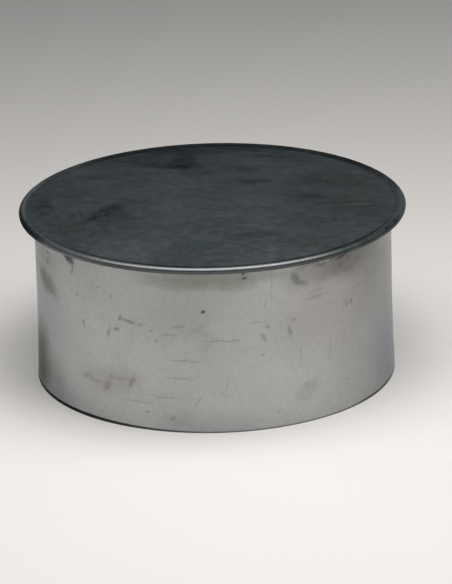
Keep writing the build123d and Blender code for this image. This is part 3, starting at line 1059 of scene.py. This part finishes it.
def collar_material(settings):
    """Galvanised wall: pale mottled zinc with handling marks, scratches and weld spots."""
    finish, collar, sizes = settings.finish, settings.collar, cap_sizes(settings)
    material, graph, shader, position = new_material("collar_zinc_dressed", {"Metallic": 1.0})
    where = graph.use("wall_place", {"Position": position, "Radius": sizes["Wall Radius"]})
    place = where["Place"]
    arc, height = graph.split(place)[:2]
    mouth = graph.remap(height, 0.0, collar.flare_height, 1.0, 0.0)
    unflared = where["Off Axis"] - mouth * mouth * collar.flare_rise
    outside = graph.remap(unflared, collar.bore_radius + INTO_SHEET, sizes["Wall Radius"] - INTO_SHEET)

    zinc = zinc_coated(graph, position, finish.collar_warm, finish.collar_cool,
                       mottle=2.2 * MM, grain=0.75 * MM, contrast=1.0)
    coat = Coat(graph, finish, zinc["Color"])
    coat.mark(place, COLLAR_CLOUDS, outside, reach=5 * MM, size=14 * MM, thinnest=0.88)
    cover = coat.mark(place, COLLAR_MARKS, outside, reach=1.1 * MM, size=2.6 * MM)

    scratches = scratched(graph, place, length=11 * MM, width=0.45 * MM, worn=26 * MM, turn=0.03)
    rubs = scratched(graph, place, length=6 * MM, width=0.6 * MM, worn=40 * MM, turn=1.5)
    specks = specked(graph, position, spacing=9 * MM, size=1.0 * MM)
    lines = scratches * SCRATCH_TINT + rubs * RUB_TINT + specks * SPECK_TINT
    coat.stain("grime", graph.remap(lines, 0.0, 1.0))
    coat.stain("rust", heat_rings(graph, collar, sizes, arc, height))
    edge = mouth_edge(graph, arc, height)
    # Painted shadow under the mouth's left side, with dirt and dark sheared steel
    coat.stain("soot", edge)

    # Marks, dirt and the painted shadow at the mouth are rougher than zinc, and less metallic
    deepest = graph.most(cover, lines, edge)
    rough = finish.roughness + zinc["Unevenness"] * COLLAR_UNEVENNESS + deepest * DIRT_ROUGHNESS
    graph.feed(shader.inputs["Metallic"], graph.remap(deepest, 0.2, 1.0, 1.0, METAL_IN_DIRT))
    swell = graph.noise(position, SWELL_BREADTH, detail=1.0)
    relief = zinc["Height"] * COLLAR_GRAIN + scratches * -SCRATCH_DEPTH + swell * SWELL_HEIGHT
    plated(graph, shader, coat.colour, rough, relief)
    return material


def lay_wiped_film(coat, x, y):
    """Dark and pale film that wiping has left in streaks from side to side of the disc."""
    graph = coat.graph
    stretched = graph.join(x / STREAK_LENGTH, y / STREAK_WIDTH, 0.0)
    streaks = graph.noise(stretched, 1.0, detail=4.0, roughness=0.62, warp=0.3)
    backward = graph.remap(y, *band(0.0, DARK_FILM_RUN), 0.3, 1.0)
    coat.stain("soot", graph.remap(streaks, *DARK_FILM_NOISE, 0.0, DARK_FILM) * backward)
    rightward = graph.remap(x, *band(0.0, PALE_FILM_RUN), 0.25, 1.0)
    coat.stain("dust", graph.remap(streaks, *PALE_FILM_NOISE, 0.0, PALE_FILM) * rightward)


def facing(graph, heading, degrees, begins, full, least, most):
    """Share that grows from least to most as the cosine between two headings rises."""
    angle = math.radians(degrees)
    to_x, to_y = graph.split(heading)[:2]
    cosine = to_x * math.cos(angle) + to_y * math.sin(angle)
    return graph.ease(cosine, begins, full, least, most)


def lay_rim_dirt_and_shade(coat, sizes, position, place):
    """Dirt and painted shade on the fold and in the groove inside it, set by which way each part faces.
    Handling keeps the crest clean in places, where it also carries a painted highlight.
    """
    graph = coat.graph
    height = graph.split(position)[2]
    off_axis, heading = graph.length(place), graph.vector("NORMALIZE", place)
    plate_edge, fold_centre = sizes["Plate Radius"], sizes["Fold Centre"]
    dirt_and_shade = {part: facing(graph, heading, *spot) for part, spot in SOILED_AND_SHADED.items()}
    clean = graph.most(*[facing(graph, heading, *spot) for spot in RUBBED_AND_HIGHLIT.values()])
    patchy = graph.remap(graph.noise(position, 6 * MM, detail=2.0), 0.3, 0.7, 0.75, 1.0)

    # Painted highlight and painted shade on the crest: lighter where it faces the lamps, darker with
    # dirt and shade elsewhere
    crest = graph.ease(off_axis, plate_edge + CREST_START, fold_centre - CREST_FULL)
    coat.stain("soot", crest * (CREST_DIRT_AND_SHADE - clean * CREST_DIRT_AND_SHADE) * patchy)
    coat.stain("rubbed", crest * clean * CREST_RUBBED_AND_HIGHLIT)
    flank = graph.ease(height, *band(RIM_CREST, FLANK_BAND), FLANK_DIRT_AND_SHADE, 0.0)
    coat.stain("soot", flank * crest * dirt_and_shade["flank"])
    outer_side = graph.remap(off_axis, *band(fold_centre, OUTER_BAND))
    coat.stain("soot", dirt_and_shade["outer side"] * outer_side * OUTER_DIRT_AND_SHADE)
    groove = graph.plateau(off_axis, *band(plate_edge, GROOVE_BAND))
    coat.stain("soot", groove * patchy * dirt_and_shade["groove"] * GROOVE_DIRT_AND_SHADE)
    back = graph.ease(off_axis, *band(plate_edge, BACK_BAND))
    coat.stain("soot", dirt_and_shade["back"] * back * BACK_DIRT_AND_SHADE)
    return crest


def disc_material(settings):
    """Galvanised end disc: zinc painted darker and bluish as a painted reflection of the dim room it
    mirrors, rubbed bright and given a painted highlight along its fold.
    """
    finish = settings.finish
    material, graph, shader, position = new_material("disc_zinc_dressed", {"Metallic": 1.0})
    x, y, z = graph.split(position)
    place = graph.join(x, y, 0.0)
    on_top = graph.remap(z, *band(FLANGE_TOP, TOP_FACE))

    zinc = zinc_coated(graph, position, finish.disc_warm_dark_reflection, finish.disc_cool_dark_reflection,
                       mottle=4.4 * MM, grain=1.0 * MM, contrast=2.0)
    coat = Coat(graph, finish, zinc["Color"])
    coat.mark(place, DISC_CLOUDS, on_top, reach=6 * MM, size=13 * MM, thinnest=0.6)
    lay_wiped_film(coat, x, y)
    cover = coat.mark(place, DISC_MARKS, on_top, reach=1.2 * MM, size=3.5 * MM)

    scratches = scratched(graph, place, length=26 * MM, width=0.8 * MM, worn=50 * MM, turn=0.1)
    crossing = scratched(graph, place, length=18 * MM, width=0.6 * MM, worn=44 * MM, turn=-0.9)
    lines = scratches * DISC_SCRATCH_TINT + crossing * CROSSING_TINT
    coat.stain("bright", graph.remap(lines, 0.0, 1.0))
    specks = specked(graph, position, spacing=11 * MM, size=1.1 * MM)
    coat.stain("grime", specks * DISC_SPECK_TINT)
    crest = lay_rim_dirt_and_shade(coat, cap_sizes(settings), position, place)

    rough = (finish.roughness + zinc["Unevenness"] * DISC_UNEVENNESS + cover * MARK_ROUGHNESS
             + crest * CREST_ROUGHNESS)
    relief = zinc["Height"] * DISC_GRAIN + lines * -DISC_GRAIN
    plated(graph, shader, coat.colour, rough, relief)
    return material


def floor_material(settings):
    """Pale matt paper with a faint fibre."""
    constants = {"Roughness": 0.9, "Specular IOR Level": 0.2}
    material, graph, shader, position = new_material("studio_paper", constants)
    fibre = graph.remap(graph.noise(position, 1.6 * MM, detail=3.0), 0.3, 0.7, 0.975, 1.0)
    paper, tone = colour(settings.studio.floor_colour), graph.join(fibre, fibre, fibre)
    graph.feed(shader.inputs["Base Color"], graph.blend(1.0, paper, tone, mode="MULTIPLY"))
    return material


def build_floor(settings):
    """A wide floor under the cap."""
    corners = [(-1, -1), (1, -1), (1, 1), (-1, 1)]
    mesh = bpy.data.meshes.new("studio_floor")
    mesh.from_pydata([(x * FLOOR_REACH, y * FLOOR_REACH, 0) for x, y in corners], [], [(0, 1, 2, 3)])
    mesh.materials.append(floor_material(settings))
    floor = bpy.data.objects.new("studio_floor", mesh)
    bpy.context.collection.objects.link(floor)


def area_lamp(name, size, power, place, height):
    """A soft rectangular lamp over a place on the floor, facing straight down."""
    lamp = bpy.data.lights.new(name, "AREA")
    lamp.shape = "RECTANGLE"
    lamp.size, lamp.size_y = size
    lamp.energy = power
    holder = bpy.data.objects.new(name, lamp)
    bpy.context.collection.objects.link(holder)
    holder.location = (*place, height)
    holder.visible_camera = False


def build_lamps(settings):
    """Overhead panel and two smaller soft lamps nearer to the cap."""
    studio = settings.studio
    low = studio.small_lamp_height
    area_lamp("overhead_panel", PANEL_SIZE, studio.panel_power, PANEL_PLACE, studio.panel_height)
    area_lamp("near_right", SMALL_LAMP_SIZE, studio.right_power, RIGHT_LAMP_PLACE, low)
    area_lamp("near_left", SMALL_LAMP_SIZE, studio.left_power, LEFT_LAMP_PLACE, low)


def build_world(settings):
    """Room light: pale at the floor's edge, dim above it and dark higher up."""
    studio = settings.studio
    world = bpy.data.worlds.new("studio_room")
    bpy.context.scene.world = world
    world.use_nodes = True
    graph = Graph(world.node_tree)
    background = next(n for n in world.node_tree.nodes if n.type == "BACKGROUND")
    rise = graph.split(graph.made("ShaderNodeTexCoord", output="Object"))[2]
    foot, middle, top = colour(studio.room_foot), colour(studio.room_middle), colour(studio.room_top)
    lower = graph.blend(graph.ease(rise, *FOOT_FADE), foot, middle)
    room = graph.blend(graph.ease(rise, *MIDDLE_FADE), lower, top)
    graph.feed(background.inputs["Color"], room)
    background.inputs["Strength"].default_value = 1.0


def build_camera(settings):
    """The camera at the photograph's angle."""
    studio = settings.studio
    rise = studio.camera_elevation
    away = Vector((0, -math.cos(rise), math.sin(rise)))
    data = bpy.data.cameras.new("camera")
    data.lens = studio.focal_length
    data.sensor_width = SENSOR
    data.clip_start = 0.1
    data.clip_end = 50.0
    camera = bpy.data.objects.new("camera", data)
    bpy.context.collection.objects.link(camera)
    right = Vector((1, 0, 0))
    up = right.cross(-away)
    axes = Matrix((right, up, away)).transposed()
    pixels = studio.focal_length / SENSOR * PHOTO_HEIGHT
    off_centre = Vector(((CAP_PIXEL[0] - PHOTO_WIDTH / 2) / pixels,
                         (PHOTO_HEIGHT / 2 - CAP_PIXEL[1]) / pixels, -1.0))
    aim = off_centre.rotation_difference(Vector((0, 0, -1))).to_matrix()
    turned = axes @ Matrix.Rotation(studio.camera_roll, 3, "Z") @ aim
    camera.matrix_world = Matrix.Translation(away * studio.camera_distance) @ turned.to_4x4()
    bpy.context.scene.camera = camera


def dress(piece, node):
    """Let a finished piece stand for its CAD node."""
    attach(piece, BODY)
    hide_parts(node)


class DUCTCAP_OT_collar(bpy.types.Operator):
    """Make the rolled collar with its lapped, spot-welded seam"""

    bl_idname = "ductcap.make_collar"
    bl_label = "Make collar"

    def execute(self, context):
        settings = context.scene.duct_cap
        tree = collar_tree(collar_material(settings))
        dress(grown("collar_wall", tree, cap_sizes(settings)), "collar")
        return {"FINISHED"}


class DUCTCAP_OT_end_disc(bpy.types.Operator):
    """Make the end disc, folded over the collar's flange"""

    bl_idname = "ductcap.make_end_disc"
    bl_label = "Make end disc"

    def execute(self, context):
        settings = context.scene.duct_cap
        tree = disc_tree(disc_material(settings))
        dress(grown("end_plate", tree, cap_sizes(settings)), "end_disc")
        return {"FINISHED"}


class DUCTCAP_OT_stage(bpy.types.Operator):
    """Set up the floor, the lamps, the room light and the camera"""

    bl_idname = "ductcap.make_stage"
    bl_label = "Make stage"

    def execute(self, context):
        settings = context.scene.duct_cap
        build_floor(settings)
        build_lamps(settings)
        build_world(settings)
        build_camera(settings)
        context.scene.view_settings.view_transform = "Standard"
        return {"FINISHED"}


class DUCTCAP_PT_panel(bpy.types.Panel):
    """Buttons that build the duct cap"""

    bl_label = "Duct cap"
    bl_idname = "DUCTCAP_PT_panel"
    bl_space_type = "VIEW_3D"
    bl_region_type = "UI"
    bl_category = "Duct cap"

    def draw(self, context):
        settings = context.scene.duct_cap
        for operator, group in ((DUCTCAP_OT_collar, settings.collar),
                                (DUCTCAP_OT_end_disc, settings.disc),
                                (DUCTCAP_OT_stage, settings.studio)):
            self.layout.operator(operator.bl_idname)
            for name in group.__annotations__:
                self.layout.prop(group, name)
        for name in settings.finish.__annotations__:
            self.layout.prop(settings.finish, name)


CLASSES = (CollarSizes, DiscSizes, Finish, Studio, CapSettings,
           DUCTCAP_OT_collar, DUCTCAP_OT_end_disc, DUCTCAP_OT_stage, DUCTCAP_PT_panel)


def register():
    for item in CLASSES:
        bpy.utils.register_class(item)
    bpy.types.Scene.duct_cap = PointerProperty(type=CapSettings)


def unregister():
    del bpy.types.Scene.duct_cap
    for item in reversed(CLASSES):
        bpy.utils.unregister_class(item)


def main():
    register()
    bpy.ops.ductcap.make_collar()
    bpy.ops.ductcap.make_end_disc()
    bpy.ops.ductcap.make_stage()


if __name__ == "__main__":
    main()
